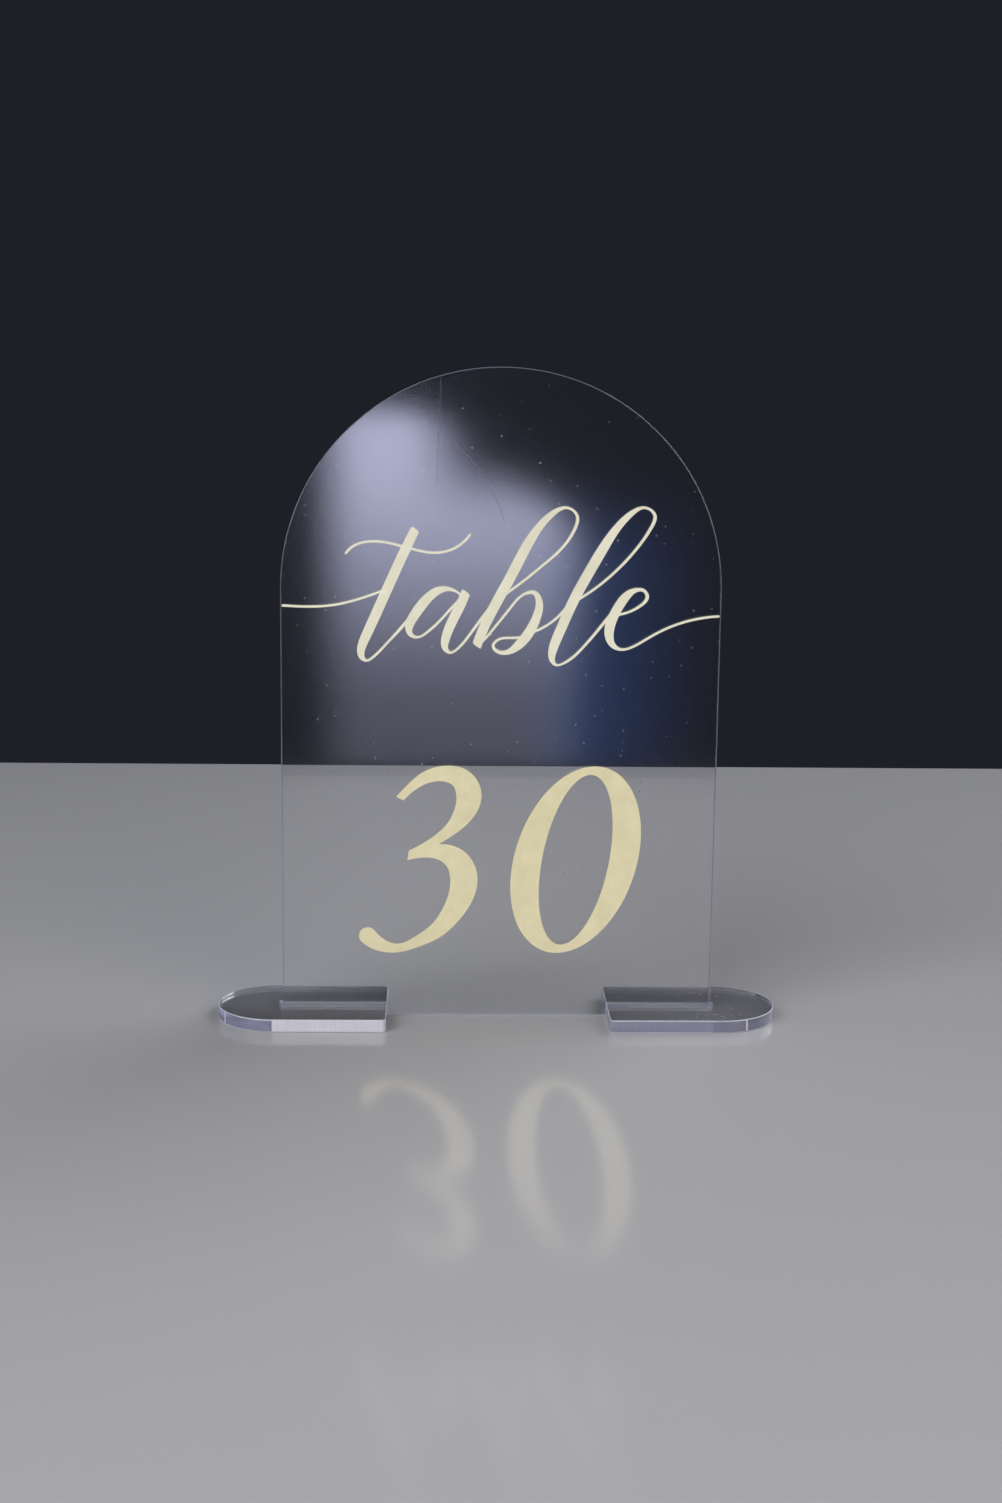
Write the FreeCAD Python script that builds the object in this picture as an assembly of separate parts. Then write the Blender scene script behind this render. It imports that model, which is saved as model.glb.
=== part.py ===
"""Table number holder: a clear arched panel that stands in two slotted feet.

The panel is cut from thin clear acrylic sheet, the feet from a thicker one. Each foot has a slot
that is open at its inner end, and grips one bottom corner of the panel. A word and a two-digit
number are printed on the panel's front face, as raised ink.

Frame: X to the right, Y away from the reader, Z up. The origin is on the table, under the middle
of the panel. All sizes are in millimetres.
"""
import FreeCAD, Part
import math
import os

from FreeCAD import Vector

# --- Driving dimensions ---------------------------------------------------------------------------

INCH = 25.4

# The panel, a 4 by 6 inch sign with a full half-round top.
PANEL_WIDTH = 4 * INCH
PANEL_HEIGHT = 6 * INCH
PANEL_THICKNESS = 2.0

# The feet.
FOOT_LENGTH = 40.0
FOOT_DEPTH = 28.0
FOOT_THICKNESS = 3.0
FOOT_CORNER_RADIUS = 1.0

# The slot in each foot, from its inner end. It grips an inch of the panel's bottom edge.
SLOT_LENGTH = 1 * INCH
SLOT_CLEARANCE = 0.05       # on each side of the panel
SLOT_END_GAP = 0.7          # from the panel's side edge to the slot's closed end

# The print.
INK_THICKNESS = 0.1

# --- Lettering ------------------------------------------------------------------------------------
# A pen stroke is a list of runs, and a run is a list of pen positions in the order in which the
# pen moves: X, Z and the width of the line there. The pen goes from one run to the next without
# lifting. A stroke that comes back to its own line is parted into runs, so that no run does.
# Plain slanted script: heavy on the way down, light on the way up.

HAIRLINE = 0.55

# How a run ends: the direction of the cut across it, in degrees up from X, or None for one square
# to the line, and how far the end bulges past the cut, as a share of the line's width.
PARTED = (None, 0.0)
BRUSH_END = (None, 0.3)
NIB_END = (-36, 0.08)
ROUND_END = (None, 0.45)
TOP_CUT = (-27, 0.0)
WAIST_CUT = (83, 0.0)

LEFT_SWASH = [[
    (-50.3, 97.9, HAIRLINE),
    (-44.6, 97.7, HAIRLINE),
    (-38.6, 98.1, HAIRLINE),
    (-33.2, 99.4, HAIRLINE),
    (-27.6, 101.4, HAIRLINE),
]]
T_STEM = [[
    (-19.9, 115.6, 2.1),
    (-22.6, 110.0, 2.3),
    (-26.0, 102.5, 2.35),
    (-29.1, 95.5, 2.35),
    (-31.4, 90.4, 2.2),
    (-32.3, 87.6, 1.8),
    (-32.0, 86.0, 1.2),
    (-31.0, 85.3, 0.6),
    (-29.6, 86.0, HAIRLINE),
    (-26.8, 88.8, HAIRLINE),
    (-23.7, 92.2, 0.65),
    (-21.0, 95.3, 0.75),
]]
T_BAR = [[
    (-35.8, 109.9, HAIRLINE),
    (-33.4, 112.0, HAIRLINE),
    (-29.2, 112.8, HAIRLINE),
    (-24.4, 112.1, HAIRLINE),
    (-18.8, 110.7, HAIRLINE),
    (-14.0, 110.4, HAIRLINE),
    (-10.0, 111.9, HAIRLINE),
    (-7.3, 114.6, HAIRLINE),
]]
A_BOWL = [
    [
        (-9.3, 100.5, HAIRLINE),
        (-11.6, 101.9, 0.8),
        (-14.1, 101.8, 1.6),
        (-17.1, 99.7, 2.2),
        (-19.8, 96.2, 2.3),
    ],
    [
        (-21.2, 93.2, 1.8),
        (-20.9, 91.5, 1.1),
        (-19.4, 90.8, 0.6),
        (-17.0, 92.0, HAIRLINE),
        (-13.6, 95.2, HAIRLINE),
        (-9.4, 99.7, 0.6),
    ],
]
A_STEM = [[
    (-8.2, 101.3, 2.1),
    (-10.0, 97.2, 2.3),
    (-11.9, 93.2, 2.2),
    (-12.9, 90.1, 1.9),
    (-12.8, 88.2, 1.3),
    (-11.7, 87.3, 0.65),
    (-10.0, 88.2, HAIRLINE),
    (-7.3, 91.4, 0.6),
    (-5.0, 94.6, 0.65),
    (-2.7, 97.6, 0.7),
]]
B_STEM = [
    [
        (0.2, 100.4, HAIRLINE),
        (4.0, 103.2, HAIRLINE),
        (9.5, 107.7, HAIRLINE),
        (13.9, 111.8, 0.6),
        (16.6, 116.0, 0.7),
        (17.1, 119.0, 0.7),
        (15.0, 120.8, 0.6),
    ],
    [
        (11.6, 119.6, 1.25),
        (8.3, 116.2, 1.8),
        (5.6, 111.9, 2.3),
        (2.6, 106.0, 2.4),
        (-0.7, 99.8, 2.4),
        (-3.6, 94.0, 2.3),
        (-5.6, 88.95, 2.2),
    ],
]
B_BOWL = [
    [
        (-4.7, 89.5, HAIRLINE),
        (-1.2, 93.6, HAIRLINE),
        (2.4, 98.2, HAIRLINE),
        (5.3, 101.0, 0.6),
        (7.5, 101.3, 1.0),
        (8.7, 99.2, 1.6),
        (8.2, 95.8, 2.0),
        (6.4, 92.0, 2.3),
        (3.9, 89.0, 2.0),
        (1.2, 87.4, 1.1),
    ],
    [
        (-0.9, 87.7, 0.8),
        (-1.8, 88.9, 0.65),
        (-0.9, 90.2, HAIRLINE),
        (1.4, 90.8, HAIRLINE),
        (5.2, 91.2, HAIRLINE),
    ],
]
B_LINK = [[
    (6.7, 92.0, HAIRLINE),
    (9.2, 93.0, HAIRLINE),
    (12.2, 95.0, HAIRLINE),
    (15.2, 98.2, 0.7),
]]
L_STEM = [
    [
        (17.3, 99.6, HAIRLINE),
        (21.8, 102.6, HAIRLINE),
        (27.2, 107.4, 0.6),
        (31.5, 112.4, 0.65),
        (34.2, 116.6, 0.75),
        (34.9, 119.3, 0.75),
        (32.8, 121.0, 0.6),
    ],
    [
        (29.7, 119.8, 1.2),
        (26.2, 116.2, 1.8),
        (23.2, 111.6, 2.3),
        (19.9, 105.8, 2.4),
        (16.5, 99.3, 2.4),
        (13.7, 92.7, 2.3),
        (12.0, 88.1, 2.0),
        (11.9, 85.8, 1.3),
        (12.8, 84.6, 0.6),
        (14.8, 85.1, HAIRLINE),
        (18.5, 88.2, 0.6),
        (22.0, 92.3, 0.65),
        (25.5, 96.7, 0.75),
    ],
]
E_BODY = [
    [
        (26.9, 96.3, HAIRLINE),
        (29.6, 97.1, HAIRLINE),
        (32.2, 98.6, 0.65),
        (33.6, 100.6, 0.8),
        (32.8, 102.0, 0.75),
    ],
    [
        (31.0, 102.1, 1.0),
        (29.1, 101.0, 1.8),
        (26.9, 98.0, 2.2),
        (25.3, 94.4, 2.3),
        (25.0, 91.4, 2.0),
        (25.9, 89.3, 1.3),
        (27.9, 88.3, 0.65),
        (30.4, 88.9, HAIRLINE),
        (34.2, 91.1, HAIRLINE),
        (39.0, 93.6, HAIRLINE),
        (44.6, 95.4, HAIRLINE),
        (50.3, 96.2, HAIRLINE),
    ],
]
# Each stroke with how it starts and how it ends.
WORD = [
    (LEFT_SWASH, BRUSH_END, BRUSH_END),
    (T_STEM, NIB_END, BRUSH_END),
    (T_BAR, BRUSH_END, BRUSH_END),
    (A_BOWL, BRUSH_END, BRUSH_END),
    (A_STEM, NIB_END, BRUSH_END),
    (B_STEM, BRUSH_END, NIB_END),
    (B_BOWL, BRUSH_END, BRUSH_END),
    (B_LINK, BRUSH_END, BRUSH_END),
    (L_STEM, BRUSH_END, BRUSH_END),
    (E_BODY, BRUSH_END, BRUSH_END),
]

# The three is two strokes that meet at its waist.
THREE_TOP = [[
    (-23.2, 52.8, 1.9),
    (-20.0, 56.0, 2.2),
    (-16.6, 58.1, 3.0),
    (-12.6, 58.8, 3.8),
    (-8.9, 57.5, 5.1),
    (-7.1, 54.0, 5.9),
    (-8.0, 49.9, 5.0),
    (-10.9, 45.9, 3.2),
    (-15.1, 42.6, 2.2),
    (-21.2, 39.3, 1.8),
]]
THREE_BOTTOM = [[
    (-21.3, 39.0, 1.8),
    (-17.4, 40.0, 2.6),
    (-13.4, 40.0, 4.0),
    (-9.9, 38.1, 5.6),
    (-8.2, 34.6, 6.4),
    (-8.6, 30.0, 6.0),
    (-10.8, 25.4, 4.9),
    (-14.2, 21.3, 3.8),
    (-18.8, 18.4, 2.7),
    (-23.6, 16.7, 2.1),
    (-27.7, 17.5, 3.2),
    (-30.8, 19.8, 4.2),
]]
THREE = [
    (THREE_TOP, TOP_CUT, WAIST_CUT),
    (THREE_BOTTOM, WAIST_CUT, ROUND_END),
]

# The zero is the space between two leaning ellipses with one centre.
ZERO_CENTRE = (18.15, 38.2)
ZERO_OUTER = (14.7, 22.55, 0.187)       # half width, half height, lean to the right as it rises
ZERO_INNER = (7.95, 20.5, 0.158)


# --- Clear acrylic pieces -------------------------------------------------------------------------

def line(start, end):
    return Part.makeLine(start, end)


def arc(start, middle, end):
    return Part.Arc(start, middle, end).toShape()


def arch_panel():
    """The upright sheet: square bottom corners on the table, half-round top."""
    half = PANEL_WIDTH / 2
    shoulder = PANEL_HEIGHT - half
    front = -PANEL_THICKNESS / 2
    bottom_left = Vector(-half, front, 0)
    bottom_right = Vector(half, front, 0)
    right_shoulder = Vector(half, front, shoulder)
    left_shoulder = Vector(-half, front, shoulder)
    outline = Part.Wire([
        line(bottom_left, bottom_right),
        line(bottom_right, right_shoulder),
        arc(right_shoulder, Vector(0, front, PANEL_HEIGHT), left_shoulder),
        line(left_shoulder, bottom_left),
    ])
    return Part.Face(outline).extrude(Vector(0, PANEL_THICKNESS, 0))


def right_foot():
    """A flat foot with a half-round outer end, and a slot from its square inner end."""
    half = FOOT_DEPTH / 2
    slot_end = PANEL_WIDTH / 2 + SLOT_END_GAP
    inner = slot_end - SLOT_LENGTH
    tip = inner + FOOT_LENGTH
    outline = Part.Wire([
        line(Vector(inner, -half, 0), Vector(tip - half, -half, 0)),
        arc(Vector(tip - half, -half, 0), Vector(tip, 0, 0), Vector(tip - half, half, 0)),
        line(Vector(tip - half, half, 0), Vector(inner, half, 0)),
        line(Vector(inner, half, 0), Vector(inner, -half, 0)),
    ])
    foot = Part.Face(outline).extrude(Vector(0, 0, FOOT_THICKNESS))
    corners = [edge for edge in foot.Edges if is_inner_corner(edge, inner)]
    foot = foot.makeFillet(FOOT_CORNER_RADIUS, corners)
    slot_half = PANEL_THICKNESS / 2 + SLOT_CLEARANCE
    slot = Part.makeBox(SLOT_LENGTH, 2 * slot_half, FOOT_THICKNESS, Vector(inner, -slot_half, 0))
    return foot.cut(slot)


def is_inner_corner(edge, inner):
    """True for an upright edge at the foot's inner end."""
    low, high = edge.Vertexes[0].Point, edge.Vertexes[-1].Point
    upright = abs(high.z - low.z) > FOOT_THICKNESS / 2
    return upright and abs(low.x - inner) < FOOT_CORNER_RADIUS / 2


def left_foot():
    """The same foot, turned half round about the panel's middle."""
    foot = right_foot()
    foot.rotate(Vector(0, 0, 0), Vector(0, 0, 1), 180)
    return foot


# --- Ink ------------------------------------------------------------------------------------------

INK_BACK = -PANEL_THICKNESS / 2         # the ink lies on the panel's front face
STEPS_PER_SPAN = 4                      # edge points from one pen position to the next


def smooth_curve(points, times=None):
    """A curve through the points, which it passes at the given times if there are any."""
    curve = Part.BSplineCurve()
    if times:
        curve.interpolate(Points=points, Parameters=times)
    else:
        curve.interpolate(points)
    return curve


def pen_times(positions):
    """When the pen reaches each position, if it moves at a steady speed."""
    times = [0.0]
    for start, end in zip(positions, positions[1:]):
        times.append(times[-1] + start.distanceToPoint(end))
    return times


def stroke_faces(runs, start, finish):
    """The flat shapes that one pen stroke leaves, one for each of its runs.

    The pen's path is a smooth curve through its positions. The same curve carries the line's
    width in its Y, so the width changes smoothly too. The two edges lie half a width to each side
    of the path. The stroke starts and finishes as it says, and square cuts part its runs.
    """
    positions = [Vector(x, width, z) for run in runs for x, z, width in run]
    times = pen_times(positions)
    path = smooth_curve(positions, times)
    faces = []
    first = 0
    for run in runs:
        last = first + len(run) - 1
        if first > 0:
            first -= 1                  # a later run starts where the one before it ends
        ends = (start if first == 0 else PARTED, finish if last == len(positions) - 1 else PARTED)
        faces.append(run_face(path, times[first:last + 1], ends))
        first = last + 1
    return faces


def run_face(path, stops, ends):
    """The flat shape between two stops on the pen's path, with its two ends."""
    times = [stops[0]]
    for begin, end in zip(stops, stops[1:]):
        times += [begin + (end - begin) * step / STEPS_PER_SPAN for step in range(1, STEPS_PER_SPAN + 1)]
    left = [edge_point(path, time, 1) for time in times]
    right = [edge_point(path, time, -1) for time in times]
    for index, end in zip((0, -1), ends):
        run_on = slant(path, times[index], end[0])
        left[index] += run_on
        right[index] -= run_on
    return Part.Face(Part.Wire([
        smooth_curve(left).toShape(),
        end_line(left[-1], right[-1], heading_at(path, times[-1]) * ends[1][1]),
        smooth_curve(right[::-1]).toShape(),
        end_line(right[0], left[0], heading_at(path, times[0]) * -ends[0][1]),
    ]))


def edge_point(path, time, side):
    """The point of the line's left (1) or right (-1) edge beside the pen."""
    pen, heading = path.value(time), heading_at(path, time)
    across = Vector(-heading.z, 0, heading.x) * (side * pen.y / 2)
    return Vector(pen.x, INK_BACK, pen.z) + across


def heading_at(path, time):
    """The direction in which the pen moves, in the plane of the panel."""
    rate = path.tangent(time)[0]
    return Vector(rate.x, 0, rate.z).normalize()


def slant(path, time, angle):
    """How far the left edge runs on, and the right edge stops short, for a cut at that angle."""
    if angle is None:
        return Vector(0, 0, 0)
    heading = heading_at(path, time)
    across = Vector(-heading.z, 0, heading.x)
    cut = Vector(math.cos(math.radians(angle)), 0, math.sin(math.radians(angle)))
    return heading * (cut.dot(heading) / cut.dot(across) * path.value(time).y / 2)


def end_line(start, end, bulge):
    """A straight cut across the line, or an arc if it has a bulge, in widths of the line."""
    if bulge.Length == 0:
        return line(start, end)
    return arc(start, (start + end) * 0.5 + bulge * start.distanceToPoint(end), end)


def ink(face):
    """Raise a flat shape on the panel's front face by the ink's thickness."""
    return face.extrude(Vector(0, -INK_THICKNESS, 0))


def printed_strokes(strokes):
    """Join the shapes of several strokes into one patch of ink."""
    return ink(joined_outline([face for stroke in strokes for face in stroke_faces(*stroke)]))


def joined_outline(faces):
    """One face for several that overlap: it keeps the edges that have a face on one side only."""
    joined = faces[0].multiFuse(faces[1:])
    rim = [edge for edge in joined.Edges if len(joined.ancestorsOfType(edge, Part.Face)) == 1]
    return Part.makeFace([Part.Wire(loop) for loop in Part.sortEdges(rim)], "Part::FaceMakerBullseye")


def leaning_ellipse(half_width, half_height, lean):
    """A disc stretched to the two half sizes, then leant to the right as it rises."""
    disc = Part.Face(Part.Wire(Part.makeCircle(1, Vector(0, 0, 0), Vector(0, -1, 0))))
    stretch = FreeCAD.Matrix()
    stretch.A11 = half_width
    stretch.A13 = lean * half_height
    stretch.A33 = half_height
    stretch.A14, stretch.A34 = ZERO_CENTRE
    stretch.A24 = INK_BACK
    return disc.transformGeometry(stretch)


def printed_zero():
    return ink(leaning_ellipse(*ZERO_OUTER).cut(leaning_ellipse(*ZERO_INNER)))


# --- Write one file per node ----------------------------------------------------------------------

NODES = {
    "arch_panel": arch_panel(),
    "left_foot": left_foot(),
    "right_foot": right_foot(),
    "printed_word": printed_strokes(WORD),
    "printed_digit_three": printed_strokes(THREE),
    "printed_digit_zero": printed_zero(),
}

os.makedirs("parts", exist_ok=True)
for node, shape in NODES.items():
    shape.exportStep(f"parts/{node}.step")
    box = shape.BoundBox
    print(f"{node}: {len(shape.Solids)} solid, valid {shape.isValid()}, {shape.Volume:.2f} mm3, {box}")
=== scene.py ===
"""A clear acrylic table sign: an arched sheet standing in the slots of two clear feet.

The sheet and both feet are laser cut, so each is one outline carried through the
thickness of its sheet, with flat polished faces, softened rims and a finely ribbed
edge that the laser leaves clear in places and whitened in others, with painted
shade in the furrows of the ribs. On the feet the whitening is also painted light
at the back and along the left foot's front. The lettering is a thin cream ink on
the front face.
"""

from collections import namedtuple

import bpy
import numpy as np
from mathutils import Matrix, Vector


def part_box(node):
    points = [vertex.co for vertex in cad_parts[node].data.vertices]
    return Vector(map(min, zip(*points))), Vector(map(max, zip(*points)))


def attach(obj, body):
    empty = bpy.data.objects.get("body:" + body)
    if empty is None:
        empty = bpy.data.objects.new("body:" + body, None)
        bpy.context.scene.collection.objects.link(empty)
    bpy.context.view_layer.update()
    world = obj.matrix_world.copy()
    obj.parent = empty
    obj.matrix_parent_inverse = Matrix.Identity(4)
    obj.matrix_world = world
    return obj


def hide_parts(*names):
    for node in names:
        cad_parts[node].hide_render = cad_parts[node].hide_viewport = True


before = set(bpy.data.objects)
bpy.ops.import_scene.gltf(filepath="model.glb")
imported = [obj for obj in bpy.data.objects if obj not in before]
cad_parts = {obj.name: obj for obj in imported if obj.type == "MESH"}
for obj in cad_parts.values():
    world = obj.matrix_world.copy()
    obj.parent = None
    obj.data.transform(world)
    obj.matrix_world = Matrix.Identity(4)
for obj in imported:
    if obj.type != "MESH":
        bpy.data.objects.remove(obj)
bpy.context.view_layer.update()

MM = 0.001

# The sign, in millimetres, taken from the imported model's own boxes.
panel_low, panel_high = (np.array(c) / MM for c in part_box("arch_panel"))
foot_low, foot_high = (np.array(c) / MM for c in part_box("right_foot"))
PANEL_HALF_WIDTH = panel_high[0]
PANEL_HEIGHT = panel_high[2]
PANEL_BACK = panel_high[1]
PANEL_THICKNESS = panel_high[1] - panel_low[1]
FOOT_INNER = foot_low[0]
FOOT_OUTER = foot_high[0]
FOOT_HALF_DEPTH = foot_high[1]
FOOT_THICKNESS = foot_high[2]
SLOT_LENGTH = 25.4
SLOT_HALF_WIDTH = 1.05
INK_BED = 0.005                 # the ink's back lies this deep in the sheet's front face

# Corner radii of the cut-outs, in millimetres.
FOOT_CORNER = 1.0
SLOT_MOUTH_CORNER = 0.35
SLOT_END_CORNER = 0.14
SHEET_CORNER = 0.35

# How the laser leaves an edge, in millimetres. Each rim is rounded, with a radius that
# varies by a share of itself. Ribs cross the edge, and lag towards its far side. A mark
# is a nick where a cut starts or the sheet is chipped.
Rims = namedtuple("Rims", "radius unevenness finish")
Ribs = namedtuple("Ribs", "depth wave lag")
Mark = namedtuple("Mark", "place width depth")
FACE, CUT, WHITENED = 0, 1, 2   # a cut-out's three finishes, in their order
SHEET_RIMS = Rims(0.16, 0.1, CUT)
SHEET_RIBS = Ribs(0.004, 0.5, 0.3)
SHEET_SPACING = 0.13            # between the outline's samples
CHIP_ANGLE = 48                 # degrees up the arch, from its right end
CHIP_WIDTH, CHIP_DEPTH = 0.35, 0.12
FOOT_RIMS = Rims(0.2, 0.2, WHITENED)
FOOT_RIBS = Ribs(0.015, 0.45, 0.4)
FOOT_SPACING = 0.07
START_ANGLE = {-1: 32, 1: 64}   # degrees forward from each foot's tip, left and right
START_WIDTH, START_DEPTH = 0.2, 0.12
START_WHITENED = 0.25           # how far round its start a cut is whitened
BACK_SHARE = 0.6                # a foot's edge is whitened behind this share of its half depth: frost, and painted light for the brightness along the back

SCENE = bpy.context.scene


# ---------------------------------------------------------------- camera

CAMERA_ANGLES = (1.676, 10.4, 0.669)            # yaw, pitch and roll, in degrees
CAMERA_PLACE = (-0.01402, -0.49047, 0.15400)    # in metres
CAMERA_LENS, SENSOR_WIDTH = 51.162, 36.0        # in millimetres


def set_up_camera():
    """The camera stands a little left of the sign and looks slightly down on it.

    Its axes are level ones turned by yaw, tipped by pitch and then rolled.
    """
    yaw, pitch, roll = np.radians(CAMERA_ANGLES)
    up = np.array((0.0, 0.0, 1.0))
    ahead = np.array((np.sin(yaw), np.cos(yaw), 0.0))
    side = np.array((np.cos(yaw), -np.sin(yaw), 0.0))
    look = ahead * np.cos(pitch) - up * np.sin(pitch)
    top = up * np.cos(pitch) + ahead * np.sin(pitch)
    right = side * np.cos(roll) + top * np.sin(roll)
    top = top * np.cos(roll) - side * np.sin(roll)

    camera = bpy.data.objects.new("camera", bpy.data.cameras.new("camera"))
    SCENE.collection.objects.link(camera)
    SCENE.camera = camera
    camera.data.sensor_width = SENSOR_WIDTH
    camera.data.lens = CAMERA_LENS
    camera.data.clip_start = 0.01
    turned = Matrix(np.column_stack((right, top, -look)).tolist()).to_4x4()
    camera.matrix_world = Matrix.Translation(CAMERA_PLACE) @ turned


set_up_camera()
SCENE.view_settings.view_transform = "Standard"


# ---------------------------------------------------------------- shapes

ARC_SAMPLES = 401               # on each corner, before the outline is sampled evenly
LEAST_PER_RADIUS = 6            # samples of an arc, in a length of one radius
RIM_RINGS = 5                   # across each rounded rim, both ends counted
WALL_RINGS = 4                  # on the straight wall between the rims

# The ribs are the sum of three waves. These are their lengths, and the lengths over
# which their phases swing there and back, both as multiples of the ribs' own wave, and
# their weights.
RIB_WAVES = np.array((1.0, 0.63, 2.7))
RIB_SWINGS = np.array((9.0, 14.0, 23.0))
RIB_WEIGHTS = (0.45, 0.30, 0.25)
RIB_SWAY = 1.8                  # the swing of the phase, in radians
RIB_PHASE = 0.4
SWELL_WAVE, SWELL_PHASE = 2.3, 0.7      # a rim's radius swells as slower ribs do


def rounded_outline(corners, radii, spacing):
    """A closed outline with each corner replaced by an arc.

    An arc of radius r starts r * tan(half the turn) before its corner, and its
    centre lies r to the side that the path turns to. The samples are about spacing
    apart, and closer on small arcs. Returns points, outward normals and the
    distance run so far, one row per sample, for a path that runs anticlockwise.
    """
    corners = np.array(corners, float)
    radii = np.array(radii, float)
    before = corners - np.roll(corners, 1, axis=0)
    before /= np.linalg.norm(before, axis=1)[:, None]
    after = np.roll(before, -1, axis=0)
    turn = np.arctan2(before[:, 0] * after[:, 1] - before[:, 1] * after[:, 0],
                      (before * after).sum(axis=1))
    bend = np.sign(turn)
    start = corners - before * (radii * np.tan(np.abs(turn) / 2))[:, None]
    left = np.column_stack((-before[:, 1], before[:, 0]))
    centre = start + left * (radii * bend)[:, None]

    angle = turn[:, None] * np.linspace(0.0, 1.0, ARC_SAMPLES)
    outward = -left * bend[:, None]
    cos, sin = np.cos(angle), np.sin(angle)
    arm = np.stack((outward[:, None, 0] * cos - outward[:, None, 1] * sin,
                    outward[:, None, 0] * sin + outward[:, None, 1] * cos), axis=2)
    points = (centre[:, None, :] + arm * radii[:, None, None]).reshape(-1, 2)
    normals = (arm * bend[:, None, None]).reshape(-1, 2)
    arc_spacing = np.repeat(np.minimum(spacing, radii / LEAST_PER_RADIUS), ARC_SAMPLES)

    points = np.vstack((points, points[:1]))
    normals = np.vstack((normals, normals[:1]))
    length = np.linalg.norm(np.diff(points, axis=0), axis=1)
    along = np.concatenate(((0.0,), np.cumsum(length)))
    on_line = np.arange(length.size) % ARC_SAMPLES == ARC_SAMPLES - 1
    gaps = length / np.where(on_line, spacing, arc_spacing)
    count = np.concatenate(((0.0,), np.cumsum(gaps)))
    samples = np.linspace(0.0, count[-1], int(np.ceil(count[-1])) + 1)
    distance = np.interp(samples, count, along)
    points = np.column_stack([np.interp(distance, along, points[:, k]) for k in (0, 1)])
    normals = np.column_stack([np.interp(distance, along, normals[:, k]) for k in (0, 1)])
    normals /= np.linalg.norm(normals, axis=1)[:, None]
    return points, normals, distance


def ribbing(distance, total, wave, phase):
    """Height between 0 and 1 of the ribs that the laser's pulses leave.

    Three sine waves round the outline, each a whole number of waves long so that
    they meet at the seam, and each with its phase swung by a slower sine.
    """
    turns = 2 * np.pi * distance / total
    counts = np.round(total / (wave * RIB_WAVES))
    swings = np.round(total / (wave * RIB_SWINGS))
    height = 0
    for k, (weight, count, swing) in enumerate(zip(RIB_WEIGHTS, counts, swings), 1):
        sway = RIB_SWAY * np.sin(swing * turns + phase)
        height = height + weight * np.sin(count * turns + phase * k + sway)
    return 0.5 + 0.5 * height


def notch(points, place, width):
    """1 at the given place on the outline, falling off as a bell curve of that width."""
    gap = np.linalg.norm(points - place, axis=1)
    return np.exp(-((gap / width) ** 2))


def cut_sheet(name, outline, thickness, rims, ribs, mark, to_frame, whitened, finishes):
    """A laser-cut sheet: an outline carried straight through the sheet's thickness.

    Each ring round the edge lies at a height and an inset that follow a quarter
    circle at either face, of the rims' radius, and a straight wall between. The wall
    is pushed in by the ribs, which lag behind with height as the melt trails the
    beam, and by the mark. The two faces are flat and close the shape. Whitened says
    which points of the outline have a whitened edge, and to_frame turns outline X,
    outline Y and height into the sign's own X, Y and Z.
    """
    points, normals, distance = outline
    total = distance[-1]
    ring_points, ring_normals = points[:-1], normals[:-1]
    swell = ribbing(distance[:-1], total, SWELL_WAVE, SWELL_PHASE) - 0.5
    rise = (rims.radius * (1 + rims.unevenness * swell))[:, None]
    quarter = np.linspace(0.0, np.pi / 2, RIM_RINGS)
    wall = np.linspace(0.0, 1.0, WALL_RINGS + 2)[1:-1]
    rim_height = rise * (1 - np.cos(quarter))
    rim_inset = rise * (1 - np.sin(quarter))
    wall_height = rise + (thickness - 2 * rise) * wall
    height = np.hstack((rim_height, wall_height, thickness - rim_height[:, ::-1]))
    inset = np.hstack((rim_inset, np.zeros_like(wall_height), rim_inset[:, ::-1]))

    trailing = distance[:-1, None] + ribs.lag * (height / thickness) ** 2
    push = ribs.depth * ribbing(trailing, total, ribs.wave, RIB_PHASE)
    push = push + mark.depth * notch(ring_points, mark.place, mark.width)[:, None]
    inset = inset + push

    flat = ring_points[:, None, :] - ring_normals[:, None, :] * inset[:, :, None]
    grid = np.dstack((flat, height))
    columns, rings = height.shape
    verts = to_frame(grid.reshape(-1, 3)) * MM

    column = np.arange(columns)[:, None]
    following = (column + 1) % columns
    ring = np.arange(rings - 1)[None, :]
    quads = np.stack((column * rings + ring, following * rings + ring,
                      following * rings + ring + 1, column * rings + ring + 1), axis=2)
    quads = quads.reshape(-1, 4)
    first_face = np.arange(columns)[::-1] * rings
    last_face = np.arange(columns) * rings + rings - 1
    faces = quads.tolist() + [first_face.tolist(), last_face.tolist()]

    mesh = bpy.data.meshes.new(name)
    mesh.from_pydata(verts.tolist(), [], faces)
    finish = np.full((columns, rings - 1), CUT)
    finish[:, :RIM_RINGS - 1] = finish[:, 1 - RIM_RINGS:] = rims.finish
    finish[whitened(ring_points)] = WHITENED
    finish = np.concatenate((finish.ravel(), (FACE, FACE)))
    mesh.polygons.foreach_set("use_smooth", finish != FACE)
    mesh.polygons.foreach_set("material_index", finish.astype(np.int32))

    run = np.broadcast_to(distance[:-1, None], (columns, rings - 1))
    next_run = np.broadcast_to(distance[1:, None], (columns, rings - 1))
    edge_u = np.stack((run, next_run, next_run, run), axis=2).reshape(-1)
    edge_v = height.reshape(-1)[quads].reshape(-1)
    face_uv = grid.reshape(-1, 3)[np.concatenate((first_face, last_face)), :2]
    uv = np.vstack((np.column_stack((edge_u, edge_v)), face_uv)) * MM
    layer = mesh.uv_layers.new(name="along_cut")
    layer.data.foreach_set("uv", uv.astype(np.float32).ravel())
    mesh.validate()
    mesh.update()

    for material in finishes:
        mesh.materials.append(material)
    piece = bpy.data.objects.new(name, mesh)
    SCENE.collection.objects.link(piece)
    return piece


# ---------------------------------------------------------------- finishes

# A Mix node's colour sockets, which share their names with its other kinds.
MIX_SHARE, MIX_LOW, MIX_HIGH, MIX_RESULT = 0, 6, 7, 2


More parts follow.
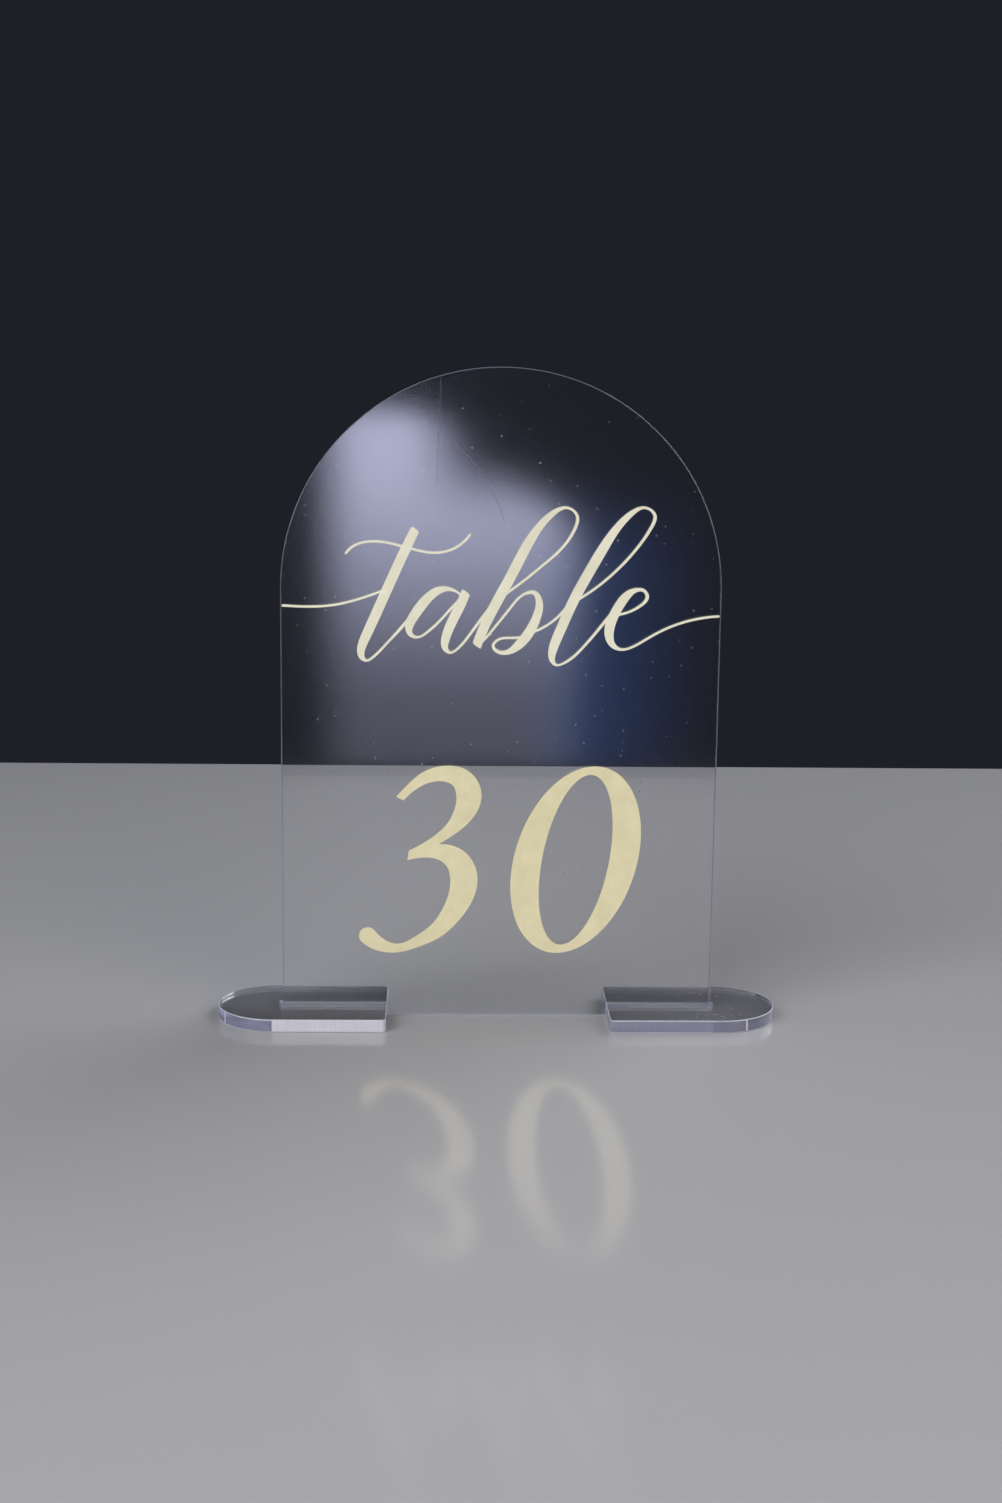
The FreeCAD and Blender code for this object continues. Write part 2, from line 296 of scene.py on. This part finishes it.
class Finish:
    """A material and its node tree, with short calls to add and join nodes."""

    def __init__(self, name):
        self.material = bpy.data.materials.new(name)
        self.material.use_nodes = True
        self.tree = self.material.node_tree
        self.shader = self.tree.nodes["Principled BSDF"]
        self.output = self.tree.nodes["Material Output"]

    def plain(self, socket, value):
        """The same value all over, on the shader's own socket."""
        self.shader.inputs[socket].default_value = value

    def join(self, source, node, socket):
        """A link from a socket to one of a node's inputs."""
        self.tree.links.new(source, node.inputs[socket])

    def math(self, operation, first, second=0.0):
        """The result of one sum, with sockets or numbers."""
        made = self.tree.nodes.new("ShaderNodeMath")
        made.operation = operation
        for socket, value in zip(made.inputs, (first, second)):
            if isinstance(value, bpy.types.NodeSocket):
                self.tree.links.new(value, socket)
            else:
                socket.default_value = value
        return made.outputs[0]

    def product(self, first, *others):
        """The product of two or more sockets or numbers."""
        for other in others:
            first = self.math("MULTIPLY", first, other)
        return first

    def spread(self, value, low, high, to_low, to_high):
        """A value between low and high, remapped in a straight line and held there."""
        made = self.tree.nodes.new("ShaderNodeMapRange")
        self.join(value, made, "Value")
        for key, number in (("From Min", low), ("From Max", high),
                            ("To Min", to_low), ("To Max", to_high)):
            made.inputs[key].default_value = number
        return made.outputs["Result"]

    def eased(self, value, low, high):
        """0 at low and 1 at high, with a smooth start and finish between them."""
        made = self.tree.nodes.new("ShaderNodeMapRange")
        made.interpolation_type = "SMOOTHSTEP"
        self.join(value, made, "Value")
        made.inputs["From Min"].default_value = low
        made.inputs["From Max"].default_value = high
        return made.outputs["Result"]

    def noise(self, where, scale, detail=2.0, roughness=0.5):
        """Smooth noise between 0 and 1, with scale cells to a unit of the coordinates."""
        made = self.tree.nodes.new("ShaderNodeTexNoise")
        self.join(where, made, "Vector")
        made.inputs["Scale"].default_value = scale
        made.inputs["Detail"].default_value = detail
        made.inputs["Roughness"].default_value = roughness
        return made.outputs["Fac"]

    def stretched(self, where, scale, turn=(0.0, 0.0, 0.0)):
        """Coordinates in a pattern's own frame: turned, then scaled."""
        made = self.tree.nodes.new("ShaderNodeMapping")
        made.vector_type = "TEXTURE"
        self.join(where, made, "Vector")
        made.inputs["Scale"].default_value = tuple(1 / k for k in scale)
        made.inputs["Rotation"].default_value = turn
        return made.outputs["Vector"]

    def gap(self, where, point):
        """How far the surface is from a point."""
        away = self.tree.nodes.new("ShaderNodeVectorMath")
        away.operation = "DISTANCE"
        self.join(where, away, 0)
        away.inputs[1].default_value = point
        return away.outputs["Value"]

    def hairline(self, where, scratch):
        """How rough a scratch along an arc is: most on the arc, and fading to its ends."""
        off_arc = self.math("SUBTRACT", self.gap(where, scratch.centre), scratch.radius)
        across = self.spread(self.math("ABSOLUTE", off_arc), 0.0, scratch.half_width,
                             SCRATCH_ROUGHNESS, 0.0)
        along = self.eased(self.gap(where, scratch.middle), scratch.half_length,
                           SCRATCH_FULL_SHARE * scratch.half_length)
        return self.product(across, along)

    def between(self, low, high, share):
        """A colour between two, by a share from 0 to 1."""
        made = self.tree.nodes.new("ShaderNodeMix")
        made.data_type = "RGBA"
        self.join(share, made, MIX_SHARE)
        made.inputs[MIX_LOW].default_value = low
        made.inputs[MIX_HIGH].default_value = high
        return made.outputs[MIX_RESULT]

    def bump(self, height, distance):
        """The surface tilted as if it stood up to distance high where height is 1."""
        made = self.tree.nodes.new("ShaderNodeBump")
        made.inputs["Distance"].default_value = distance
        self.join(height, made, "Height")
        self.join(made.outputs["Normal"], self.shader, "Normal")

    def place(self, output="Object"):
        """Coordinates in metres: the piece's own, or along and up its cut edge."""
        return self.tree.nodes.new("ShaderNodeTexCoord").outputs[output]

    def clear_body(self):
        """Acrylic's own colour, which shows only along its length."""
        tint = self.tree.nodes.new("ShaderNodeVolumeAbsorption")
        tint.inputs["Color"].default_value = BODY_TINT
        tint.inputs["Density"].default_value = BODY_DENSITY
        self.join(tint.outputs["Volume"], self.output, "Volume")


ACRYLIC_IOR = 1.49
COAT_IOR = 1.8
COAT_ROUGHNESS = 0.08
BODY_TINT = (0.87, 0.88, 0.96, 1.0)
BODY_DENSITY = 4.5
CLEAR = (0.985, 0.988, 0.995, 1.0)
FROST = (0.93, 0.93, 0.98, 1.0)
WHITE_FROST = (0.93, 0.93, 0.99, 1.0)

# Wear on the polished faces, by how rough it leaves them.
DUST_SCALE = 450.0              # specks in a metre
DUST_CHANCE = 0.25              # the share of specks that have no size
DUST_RADIUS = 0.085             # the largest speck's, as a share of the gap between specks
DUST_ROUGHNESS = 0.9
RUBBING_ROUGHNESS = 0.22
RUBBING_SHOWS = (0.80, 0.90)    # the noise levels between which a rubbed line comes up
RUBBING = ((0.4, 75.0, 4600.0), (-0.9, 60.0, 4200.0))   # turn, cells along and across
FACE_WAVES = 24.0               # slow waves in a metre across a face
FACE_WAVE_STRETCH = 0.6         # the waves in a metre up it, as a share of that
FACE_WAVE_HEIGHT = 0.00004
SCRATCH_ROUGHNESS = 0.5
SCRATCH_FULL_SHARE = 0.7        # the share of a scratch's length that doesn't fade

# A scratch is part of an arc. Its middle lies on the arc. All in metres.
Scratch = namedtuple("Scratch", "centre radius middle half_length half_width")
SHEET_SCRATCHES = (
    Scratch((-0.5141, 0.0, 0.1597), 0.5, (-0.0142, 0.0, 0.1372), 0.0145, 0.00012),
    Scratch((-0.0328, 0.0, 0.1083), 0.0345, (-0.0035, 0.0, 0.1266), 0.0125, 0.00012))
FOOT_SCUFFS = (
    Scratch((0.0487, -0.0150, 0.003), 0.006, (0.0530, -0.0108, 0.003), 0.0014, 0.00028),
    Scratch((0.0600, 0.0000, 0.003), 0.006, (0.0555, -0.0040, 0.003), 0.0012, 0.00024),
    Scratch((0.0515, -0.0160, 0.003), 0.007, (0.0512, -0.0090, 0.003), 0.0009, 0.00024),
    Scratch((0.0535, -0.0150, 0.003), 0.007, (0.0570, -0.0089, 0.003), 0.0008, 0.00024))


def polished_acrylic(name, sheen, scratches=()):
    """A sheet's factory face: mirror smooth, with faint waves and signs of wear.

    Sheen is the weight of a thin gloss coat. The roughness at a point is the
    greatest of its dust's, its rubbing's and its scratches'. A speck of dust is a
    disc round a scattered point, with a radius drawn for that point.
    """
    f = Finish(name)
    f.plain("Base Color", CLEAR)
    f.plain("Transmission Weight", 1.0)
    f.plain("IOR", ACRYLIC_IOR)
    f.plain("Coat Weight", sheen)
    f.plain("Coat IOR", COAT_IOR)
    f.plain("Coat Roughness", COAT_ROUGHNESS)
    where = f.place()
    specks = f.tree.nodes.new("ShaderNodeTexVoronoi")
    specks.inputs["Scale"].default_value = DUST_SCALE
    f.join(where, specks, "Vector")
    chance = f.tree.nodes.new("ShaderNodeSeparateColor")
    f.join(specks.outputs["Color"], chance, "Color")
    radius = f.spread(chance.outputs["Red"], DUST_CHANCE, 1.0, 0.0, DUST_RADIUS)
    dust = f.math("LESS_THAN", specks.outputs["Distance"], radius)
    rough = f.product(dust, DUST_ROUGHNESS)
    for turn, along, across in RUBBING:
        pattern = f.stretched(where, (across, 1.0, along), (0.0, turn, 0.0))
        lines = f.noise(pattern, 1.0, detail=0.0)
        rough = f.math("MAXIMUM", rough, f.spread(lines, *RUBBING_SHOWS, 0.0, RUBBING_ROUGHNESS))
    for scratch in scratches:
        rough = f.math("MAXIMUM", rough, f.hairline(where, scratch))
    f.join(rough, f.shader, "Roughness")
    wave = f.noise(f.stretched(where, (1.0, 1.0, FACE_WAVE_STRETCH)), FACE_WAVES, detail=1.0)
    f.bump(wave, FACE_WAVE_HEIGHT)
    f.clear_body()
    return f.material


# The cut edge's noise: cells in a metre along the edge, and their frequency up the
# edge as a share of that.
RIB_CELLS, RIB_STRETCH = 2600.0, 0.06
PATCH_CELLS, PATCH_STRETCH = 420.0, 0.4
RIB_SPAN, PATCH_SPAN = (0.3, 0.7), (0.35, 0.7)  # levels, from one end to the other
RIB_HEIGHT = 0.00002
FURROW_PAINTED_SHADE = 0.86             # the colour in the ribs' furrows, as a share of the ridges': painted shade


def cut_acrylic(name, tone, clearness, gloss):
    """A laser-cut edge, ribbed along the beam, with painted shade darkening the colour in its
    furrows so that its ridges look brighter.

    Clearness is the share of light that passes through, and the rest is whitened
    by frost. Gloss is the lowest and highest roughness of its patches.
    """
    f = Finish(name)
    f.plain("Transmission Weight", clearness)
    f.plain("IOR", ACRYLIC_IOR)
    along = f.place("UV")
    ribs = f.noise(f.stretched(along, (1.0, RIB_STRETCH, 1.0)), RIB_CELLS, detail=3.0,
                   roughness=0.6)
    patches = f.noise(f.stretched(along, (1.0, PATCH_STRETCH, 1.0)), PATCH_CELLS)
    # painted shade: the colour darkens where the ribs sink, following the same noise as the bump
    painted_furrow_colour = tuple(FURROW_PAINTED_SHADE * c for c in tone[:3]) + (1.0,)
    tone = f.between(painted_furrow_colour, tone, f.spread(ribs, *RIB_SPAN, 0.0, 1.0))
    f.join(tone, f.shader, "Base Color")
    f.join(f.spread(patches, *PATCH_SPAN, *gloss), f.shader, "Roughness")
    f.bump(ribs, RIB_HEIGHT)
    f.clear_body()
    return f.material


# The ink's noise: cells in a metre, and each one's share of the mottling.
BLOTCH_CELLS, BLOTCH_SHARE = 260.0, 0.7
GRAIN_CELLS, GRAIN_SHARE = 5200.0, 0.3
BLOTCH_SPAN, MOTTLE_SPAN = (0.3, 0.7), (0.36, 0.64)     # levels, from one end to the other
GRAIN_HEIGHT = 0.00002
INK_GLOSS = (0.42, 0.58)


def cream_ink(name, pale, deep):
    """Flat cream ink with a faint warm mottling and a fine satin grain.

    Its colour runs from deep to pale with the sum of coarse blotches and fine grain.
    """
    f = Finish(name)
    where = f.place()
    blotch = f.noise(where, BLOTCH_CELLS, detail=3.0, roughness=0.6)
    grain = f.noise(where, GRAIN_CELLS, roughness=0.6)
    mottle = f.math("ADD", f.product(blotch, BLOTCH_SHARE), f.product(grain, GRAIN_SHARE))
    tone = f.between(deep, pale, f.spread(mottle, *MOTTLE_SPAN, 0.0, 1.0))
    f.join(tone, f.shader, "Base Color")
    f.join(f.spread(blotch, *BLOTCH_SPAN, *INK_GLOSS), f.shader, "Roughness")
    f.bump(grain, GRAIN_HEIGHT)
    return f.material


# Finishes in the order of FACE, CUT and WHITENED.
sheet_finishes = (polished_acrylic("polished_acrylic_sheet", 1.0, SHEET_SCRATCHES),
                  cut_acrylic("laser_cut_edge_sheet", FROST, clearness=0.84, gloss=(0.12, 0.26)),
                  cut_acrylic("whitened_cut_sheet", WHITE_FROST, clearness=0.34, gloss=(0.30, 0.45)))
cut_foot = cut_acrylic("laser_cut_edge_foot", FROST, clearness=0.87, gloss=(0.06, 0.16))
# the feet's whitened frost, also placed as painted light at the back and along the left foot's front
whitened_foot_with_painted_light = cut_acrylic("whitened_cut_foot_with_painted_light", WHITE_FROST, clearness=0.34, gloss=(0.35, 0.55))
left_face = polished_acrylic("polished_acrylic_left_foot", 0.0)
right_face = polished_acrylic("polished_acrylic_right_foot", 0.0, FOOT_SCUFFS)
foot_finishes = {-1: (left_face, cut_foot, whitened_foot_with_painted_light),
                 1: (right_face, cut_foot, whitened_foot_with_painted_light)}
word_ink = cream_ink("cream_ink_word", pale=(0.89, 0.87, 0.68, 1.0), deep=(0.81, 0.79, 0.59, 1.0))
digit_ink = cream_ink("cream_ink_digits", pale=(0.81, 0.75, 0.48, 1.0),
                      deep=(0.73, 0.67, 0.41, 1.0))


# ---------------------------------------------------------------- the sign's pieces

def arched_sheet():
    """The upright sheet: square below, and a half circle as wide as the sheet on top."""
    w, h = PANEL_HALF_WIDTH, PANEL_HEIGHT
    outline = rounded_outline(((-w, 0), (w, 0), (w, h), (-w, h)),
                              (SHEET_CORNER, SHEET_CORNER, w, w), SHEET_SPACING)
    angle = np.radians(CHIP_ANGLE)
    chip = np.array((0.0, h - w)) + w * np.array((np.cos(angle), np.sin(angle)))

    def to_frame(p):
        return np.column_stack((p[:, 0], PANEL_BACK - p[:, 2], p[:, 1]))

    def whitened(p):
        return p[:, 1] < SHEET_CORNER

    piece = cut_sheet("clear_arched_sheet", outline, PANEL_THICKNESS + INK_BED, SHEET_RIMS,
                      SHEET_RIBS, Mark(chip, CHIP_WIDTH, CHIP_DEPTH), to_frame, whitened,
                      sheet_finishes)
    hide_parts("arch_panel")
    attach(piece, "panel")


def slotted_foot(name, side, node, body):
    """A foot: a strip with a half-round outer end and a slot open at its inner end.

    Side is 1 for the right foot and -1 for the left, which has its outline's
    corners taken in the opposite order so that it still runs anticlockwise. The
    whitened edges are the slot's walls, the back, the start of the cut and, on the
    left foot, the front along the slot. The back is frost and partly painted light,
    whitened to stand in for the light that brightens it. The left front is painted
    light alone, whitened only on that foot for the light that falls on it there.
    """
    a, b, d = FOOT_INNER, FOOT_OUTER, FOOT_HALF_DEPTH
    end, w = FOOT_INNER + SLOT_LENGTH, SLOT_HALF_WIDTH
    corners = [(a, -d), (b, -d), (b, d), (a, d), (a, w), (end, w), (end, -w), (a, -w)]
    radii = [FOOT_CORNER, d, d, FOOT_CORNER, SLOT_MOUTH_CORNER, SLOT_END_CORNER,
             SLOT_END_CORNER, SLOT_MOUTH_CORNER]
    corners = [(side * x, y) for x, y in corners][::side]
    outline = rounded_outline(corners, radii[::side], FOOT_SPACING)
    angle = np.radians(START_ANGLE[side])
    start = np.array((side * (b - d + d * np.cos(angle)), -d * np.sin(angle)))

    def to_frame(p):
        return p

    def whitened(p):
        x, y = side * p[:, 0], p[:, 1]
        slot_walls = (np.abs(y) < 2 * w) & (x < end + w)
        # painted light: only the left foot's front along the slot is whitened, standing in for the
        # light that falls on it there
        front = (y < FOOT_CORNER - d) & (x < end + w) & (side < 0)
        # partly frost, partly painted light: the back is whitened to stand in for the light that
        # brightens it
        back = y > BACK_SHARE * d
        return slot_walls | front | back | (np.linalg.norm(p - start, axis=1) < START_WHITENED)

    piece = cut_sheet(name, outline, FOOT_THICKNESS, FOOT_RIMS, FOOT_RIBS,
                      Mark(start, START_WIDTH, START_DEPTH), to_frame, whitened,
                      foot_finishes[side])
    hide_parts(node)
    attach(piece, body)


arched_sheet()
slotted_foot("clear_left_foot", -1, "left_foot", "left_foot")
slotted_foot("clear_right_foot", 1, "right_foot", "right_foot")

for node, ink in (("printed_word", word_ink), ("printed_digit_three", digit_ink),
                  ("printed_digit_zero", digit_ink)):
    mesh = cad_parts[node].data
    mesh.materials.clear()
    mesh.materials.append(ink)


# ---------------------------------------------------------------- table, backdrop, light

# The table's box and its rounded edge, in metres.
TABLE_LOW, TABLE_HIGH = (-0.75, -0.30, -0.02), (0.75, 0.322, -0.00005)
TABLE_EDGE = 0.004
TABLE_ROUGHNESS = 0.12
PALE_GREY = (0.56, 0.56, 0.57, 1.0)
BACKDROP_TONE = (0.0130, 0.0140, 0.0205, 1.0)

SIGN_MIDDLE = Vector((0.0, 0.0, 0.07))          # where the lights aim

# The window light's sheet, in metres: its place in front, and its sides.
WINDOW_Y = -1.1
WINDOW_X = (-0.16, 0.22)
WINDOW_Z = (-0.17, 0.14)
# Each pane's glow, and the steps along X and Z, from dark to bright, that shape it. The
# pale pane's foot has PALE_FOOT of its full glow. A step along X + SLANT * Z cuts the
# pane off, and its upper right corner is dark.
PALE_GLOW, PALE_TONE = 5.8, (0.70, 0.73, 1.0, 1.0)
PALE_X_STEPS = ((-0.118, -0.070), (0.110, 0.055))
PALE_Z_STEPS = ((-0.153, -0.140), (0.132, 0.100))
PALE_FOOT, PALE_RISE = 0.14, (-0.12, 0.14)
SLANT, SLANT_STEP = 1.36, (0.165, 0.100)
CORNER_X_STEP, CORNER_Z_STEP = (-0.045, 0.02), (0.03, 0.09)
BLUE_GLOW, BLUE_TONE = 0.62, (0.13, 0.32, 1.0, 1.0)
BLUE_X_STEPS = ((0.045, 0.085), (0.20, 0.075))
BLUE_Z_STEPS = ((-0.153, -0.140), (0.075, 0.0))


def table_top():
    """A plain pale table top, its upper face just under the feet."""
    x, y, z = zip(TABLE_LOW, TABLE_HIGH)
    verts = [(x[i], y[j], z[k]) for k in (0, 1) for j in (0, 1) for i in (0, 1)]
    faces = [(0, 2, 3, 1), (4, 5, 7, 6), (0, 1, 5, 4), (1, 3, 7, 5), (3, 2, 6, 7), (2, 0, 4, 6)]
    mesh = bpy.data.meshes.new("table_top")
    mesh.from_pydata(verts, [], faces)
    f = Finish("pale_table")
    f.plain("Base Color", PALE_GREY)
    f.plain("Roughness", TABLE_ROUGHNESS)
    mesh.materials.append(f.material)
    piece = bpy.data.objects.new("table_top", mesh)
    SCENE.collection.objects.link(piece)
    soft = piece.modifiers.new("soft_edge", "BEVEL")
    soft.width = TABLE_EDGE
    soft.segments = 3


def softbox(name, place, size, power, tone):
    """A square soft light at a place, aimed at the middle of the sign."""
    lamp = bpy.data.lights.new(name, "AREA")
    lamp.shape = "RECTANGLE"
    lamp.size = lamp.size_y = size
    lamp.energy = power
    lamp.color = tone
    light = bpy.data.objects.new(name, lamp)
    SCENE.collection.objects.link(light)
    away = Vector(place) - SIGN_MIDDLE
    light.rotation_euler = away.to_track_quat("Z", "Y").to_euler()
    light.location = place


def window_light():
    """A soft-edged upright light far in front, for the sheen on the arched sheet.

    Its glow is a product of smooth steps across its width and height. The pale
    pane brightens with height, and is cut off by a slanting step towards its upper
    right and by a dark corner there. A dim blue pane stands beside it on the right.
    """
    (left, right), (low, high) = WINDOW_X, WINDOW_Z
    corners = [(left, WINDOW_Y, low), (right, WINDOW_Y, low),
               (right, WINDOW_Y, high), (left, WINDOW_Y, high)]
    mesh = bpy.data.meshes.new("window_light")
    mesh.from_pydata(corners, [], [(0, 1, 2, 3)])
    f = Finish("window_glow")
    axes = f.tree.nodes.new("ShaderNodeSeparateXYZ")
    f.join(f.place(), axes, "Vector")
    x, z = axes.outputs["X"], axes.outputs["Z"]

    def eased_steps(x_steps, z_steps):
        return [f.eased(x, *step) for step in x_steps] + [f.eased(z, *step) for step in z_steps]

    rising = f.math("ADD", PALE_FOOT, f.product(f.eased(z, *PALE_RISE), 1 - PALE_FOOT))
    slant = f.math("ADD", x, f.product(z, SLANT))
    corner = f.product(f.eased(x, *CORNER_X_STEP), f.eased(z, *CORNER_Z_STEP))
    pale = f.product(rising, *eased_steps(PALE_X_STEPS, PALE_Z_STEPS),
                     f.eased(slant, *SLANT_STEP), f.math("SUBTRACT", 1.0, corner))
    blue = f.product(*eased_steps(BLUE_X_STEPS, BLUE_Z_STEPS))
    both = f.tree.nodes.new("ShaderNodeAddShader")
    for number, (level, glow, tone) in enumerate(((pale, PALE_GLOW, PALE_TONE),
                                                  (blue, BLUE_GLOW, BLUE_TONE))):
        pane = f.tree.nodes.new("ShaderNodeEmission")
        pane.inputs["Color"].default_value = tone
        f.join(f.product(level, glow), pane, "Strength")
        f.join(pane.outputs["Emission"], both, number)
    f.join(both.outputs["Shader"], f.output, "Surface")
    mesh.materials.append(f.material)
    light = bpy.data.objects.new("window_light", mesh)
    SCENE.collection.objects.link(light)
    light.visible_camera = False
    light.visible_transmission = False


def backdrop():
    """A plain dark studio backdrop all round."""
    world = bpy.data.worlds.new("backdrop")
    SCENE.world = world
    world.use_nodes = True
    world.node_tree.nodes["Background"].inputs["Color"].default_value = BACKDROP_TONE


table_top()
backdrop()
softbox("key", (-0.97, -1.20, 0.80), size=1.5, power=26.0, tone=(0.96, 0.97, 1.0))
softbox("fill", (0.85, -0.95, 0.58), size=1.1, power=6.8, tone=(1.0, 0.90, 0.84))
softbox("behind", (1.15, 0.75, 0.90), size=1.4, power=17.0, tone=(0.90, 0.93, 1.0))
window_light()
